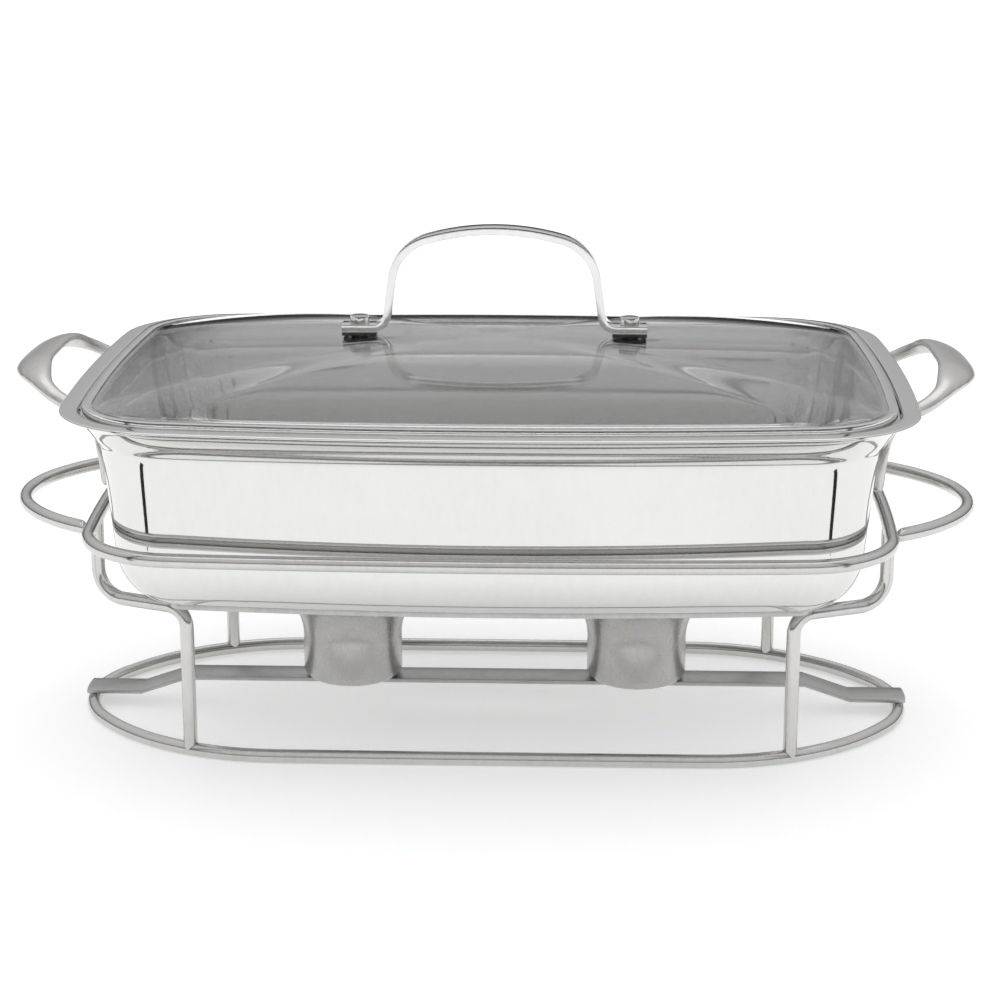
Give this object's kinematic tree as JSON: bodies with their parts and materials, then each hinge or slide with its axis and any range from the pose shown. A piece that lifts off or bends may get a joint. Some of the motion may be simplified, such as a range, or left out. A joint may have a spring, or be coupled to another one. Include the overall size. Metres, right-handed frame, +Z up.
{
  "type": "chafing dish food warmer",
  "caption": "Oblong buffet warmer: a bent-wire stand with fuel cups holds a deep steel pan with side handles under a domed glass lid; pan and lid lift off.",
  "frame": {"origin": "on the table at the middle of the base ring", "axes": "+X along the dish towards its right handle, +Y across it towards the back, +Z up"},
  "size_m": [0.4514, 0.2744, 0.2345],
  "materials": {
    "satin_wire": "satin stainless steel wire, drawn along its length",
    "satin_sheet": "satin stainless steel strip and plate",
    "drawn_cup": "satin drawn stainless steel, brushed round the cup",
    "mirror_pan": "mirror-polished stainless steel with a satin flange top",
    "cast_handle": "cast stainless steel, bead-blasted satin",
    "polished_fittings": "polished stainless steel fasteners",
    "polished_band": "polished stainless steel band and bar",
    "lid_glass": "clear tempered glass",
    "seal_rubber": "matt heat-proof silicone rubber"
  },
  "bodies": {
    "stand": {"base_ring": "satin_wire", "top_ring": "satin_wire", "leg_front_left": "satin_wire", "leg_front_right": "satin_wire", "leg_back_left": "satin_wire", "leg_back_right": "satin_wire", "loop_left": "satin_wire", "loop_right": "satin_wire", "burner_strip": "satin_sheet", "fuel_cup_left": "drawn_cup", "fuel_cup_right": "drawn_cup"},
    "pan": {"pan_shell": "mirror_pan", "pan_base_plate": "satin_sheet", "pan_handle_left": "cast_handle", "pan_handle_right": "cast_handle", "pan_rivets_left": "polished_fittings", "pan_rivets_right": "polished_fittings"},
    "lid": {"lid_glass": "lid_glass", "lid_band": "polished_band", "lid_handle": "polished_band", "lid_screws": "polished_fittings", "lid_foot_pads": "seal_rubber", "lid_washers": "seal_rubber", "lid_nuts": "polished_fittings"}
  },
  "joints": [
    {"name": "pan_lift", "type": "slide", "parent": "stand", "child": "pan", "axis": [0, 0, 1], "range_m": [0, 0.06]},
    {"name": "lid_lift", "type": "slide", "parent": "pan", "child": "lid", "axis": [0, 0, 1], "range_m": [0, 0.12]}
  ]
}
